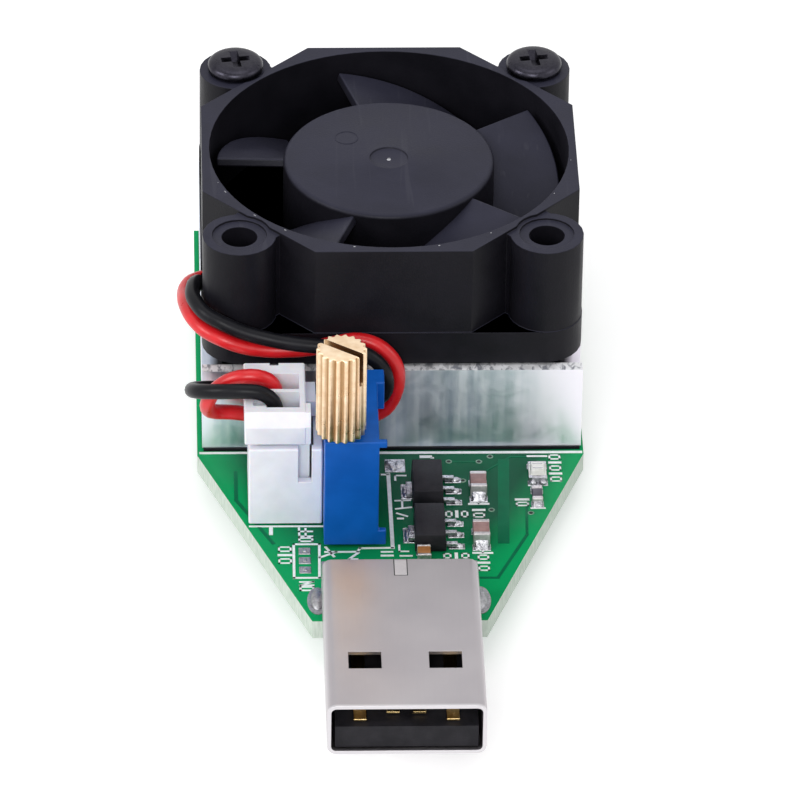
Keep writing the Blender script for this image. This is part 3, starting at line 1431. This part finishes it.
def build_bottom_parts():
    """The power transistor, the current-sense resistor and the control amplifier."""
    y = BOARD_NOSE + TRANSISTOR_FROM_NOSE
    size = (TRANSISTOR_WIDTH, TRANSISTOR_LENGTH, TRANSISTOR_HEIGHT)
    transistor = under_piece("power_transistor", size, 0.0, y, BLACK_EPOXY)
    lead_z = BOARD_BOTTOM - 2 * SOLDER_GAP - TRANSISTOR_LEAD_THICKNESS / 2
    front = y - TRANSISTOR_LENGTH / 2
    lead_size = (TRANSISTOR_LEAD_WIDTH, 2 * TRANSISTOR_LEAD_LENGTH, TRANSISTOR_LEAD_THICKNESS)
    half = TRANSISTOR_LEAD_PITCH / 2
    leads = block_set("transistor_leads", lead_size, [(-half, front, lead_z), (half, front, lead_z)])
    tab_width = TRANSISTOR_WIDTH - 4 * BORE_GAP
    tab_size = (tab_width, TRANSISTOR_TAB_LENGTH, TRANSISTOR_LEAD_THICKNESS)
    tab = block_set("transistor_tab", tab_size, [(0.0, y + TRANSISTOR_LENGTH / 2, lead_z)])
    join(transistor, leads, tab)
    under_piece("current_sense_resistor", SENSE_SIZE, SENSE_X, BOARD_NOSE + SENSE_FROM_NOSE, BLACK_EPOXY)
    build_amplifier()


def build_amplifier():
    """An eight-lead chip, four leads on each side."""
    y = BOARD_NOSE + AMPLIFIER_FROM_NOSE
    size = (AMPLIFIER_WIDTH, AMPLIFIER_LENGTH, AMPLIFIER_HEIGHT)
    chip = under_piece("control_amplifier", size, AMPLIFIER_X, y, BLACK_EPOXY)
    lead_z = BOARD_BOTTOM - 2 * SOLDER_GAP - AMPLIFIER_LEAD_THICKNESS / 2
    lead_size = (2 * AMPLIFIER_LEAD_REACH, AMPLIFIER_LEAD_WIDTH, AMPLIFIER_LEAD_THICKNESS)
    for side in (-1, 1):
        x = AMPLIFIER_X + side * AMPLIFIER_WIDTH / 2
        places = [(x, y + (index - 1.5) * AMPLIFIER_LEAD_PITCH, lead_z) for index in range(4)]
        join(chip, block_set(f"amplifier_leads_{side}", lead_size, places))


def smooth_path(points, step):
    """Points at an even spacing on a smooth curve through the route's points."""
    path = [Vector(point) for point in points]
    ends = [2 * path[0] - path[1]] + path + [2 * path[-1] - path[-2]]
    dense = []
    for index in range(len(path) - 1):
        p0, p1, p2, p3 = ends[index : index + 4]
        for part in range(16):
            t = part / 16
            dense.append(
                0.5
                * (
                    2 * p1
                    + (p2 - p0) * t
                    + (2 * p0 - 5 * p1 + 4 * p2 - p3) * t * t
                    + (3 * p1 - p0 - 3 * p2 + p3) * t * t * t
                )
            )
    dense.append(path[-1])
    total = sum((b - a).length for a, b in zip(dense, dense[1:]))
    count = max(2, round(total / step))
    spacing = total / count
    even = [dense[0]]
    travelled = 0.0
    for a, b in zip(dense, dense[1:]):
        length = (b - a).length
        while len(even) < count and travelled + length >= spacing * len(even):
            even.append(a.lerp(b, (spacing * len(even) - travelled) / length))
        travelled += length
    even.append(dense[-1])
    return even


def build_lead(name, side, route, material):
    """One insulated fan lead: out of the motor along its strut, then along its route."""
    out = Vector((math.cos(LEAD_ANGLE), math.sin(LEAD_ANGLE), 0.0))
    across = Vector((out.y, -out.x, 0.0)) * side * LEAD_SPACING / 2
    centre = Vector((0.0, FAN_Y, FAN_BOTTOM + LEAD_HEIGHT))
    start = HUB_RADIUS - SEAT_GAP
    inner = [centre + across + out * reach for reach in (start, (start + FAN_BORE / 2) / 2, FAN_BORE / 2)]
    points = smooth_path([tuple(point) for point in inner] + route, LEAD_POINT_STEP)
    curve = bpy.data.curves.new(name, "CURVE")
    curve.dimensions = "3D"
    curve.bevel_depth = LEAD_DIAMETER / 2
    curve.bevel_resolution = 2
    curve.use_fill_caps = True
    spline = curve.splines.new("POLY")
    spline.points.add(len(points) - len(spline.points))
    for target, point in zip(spline.points, points):
        target.co = (*point, 1.0)
    return mesh_of_curve(name, curve, material, (0, 0, 0))


def build_all():
    """Make every piece in its place."""
    fan_axis = make_axis("fan_axis", (0, FAN_Y, FAN_BOTTOM))
    trimmer_axis = make_axis("trimmer_axis", (KNOB_X, KNOB_Y, KNOB_BOTTOM))
    build_board()
    build_heat_sink()
    build_fan_frame()
    build_rotor(fan_axis)
    build_motor(fan_axis)
    build_fasteners()
    build_trimmer(trimmer_axis)
    build_connector()
    build_shell()
    build_insulator()
    build_top_parts()
    build_bottom_parts()
    build_lead("fan_lead_black", -1, BLACK_ROUTE, BLACK_PVC)
    build_lead("fan_lead_red", 1, RED_ROUTE, RED_PVC)


build_all()
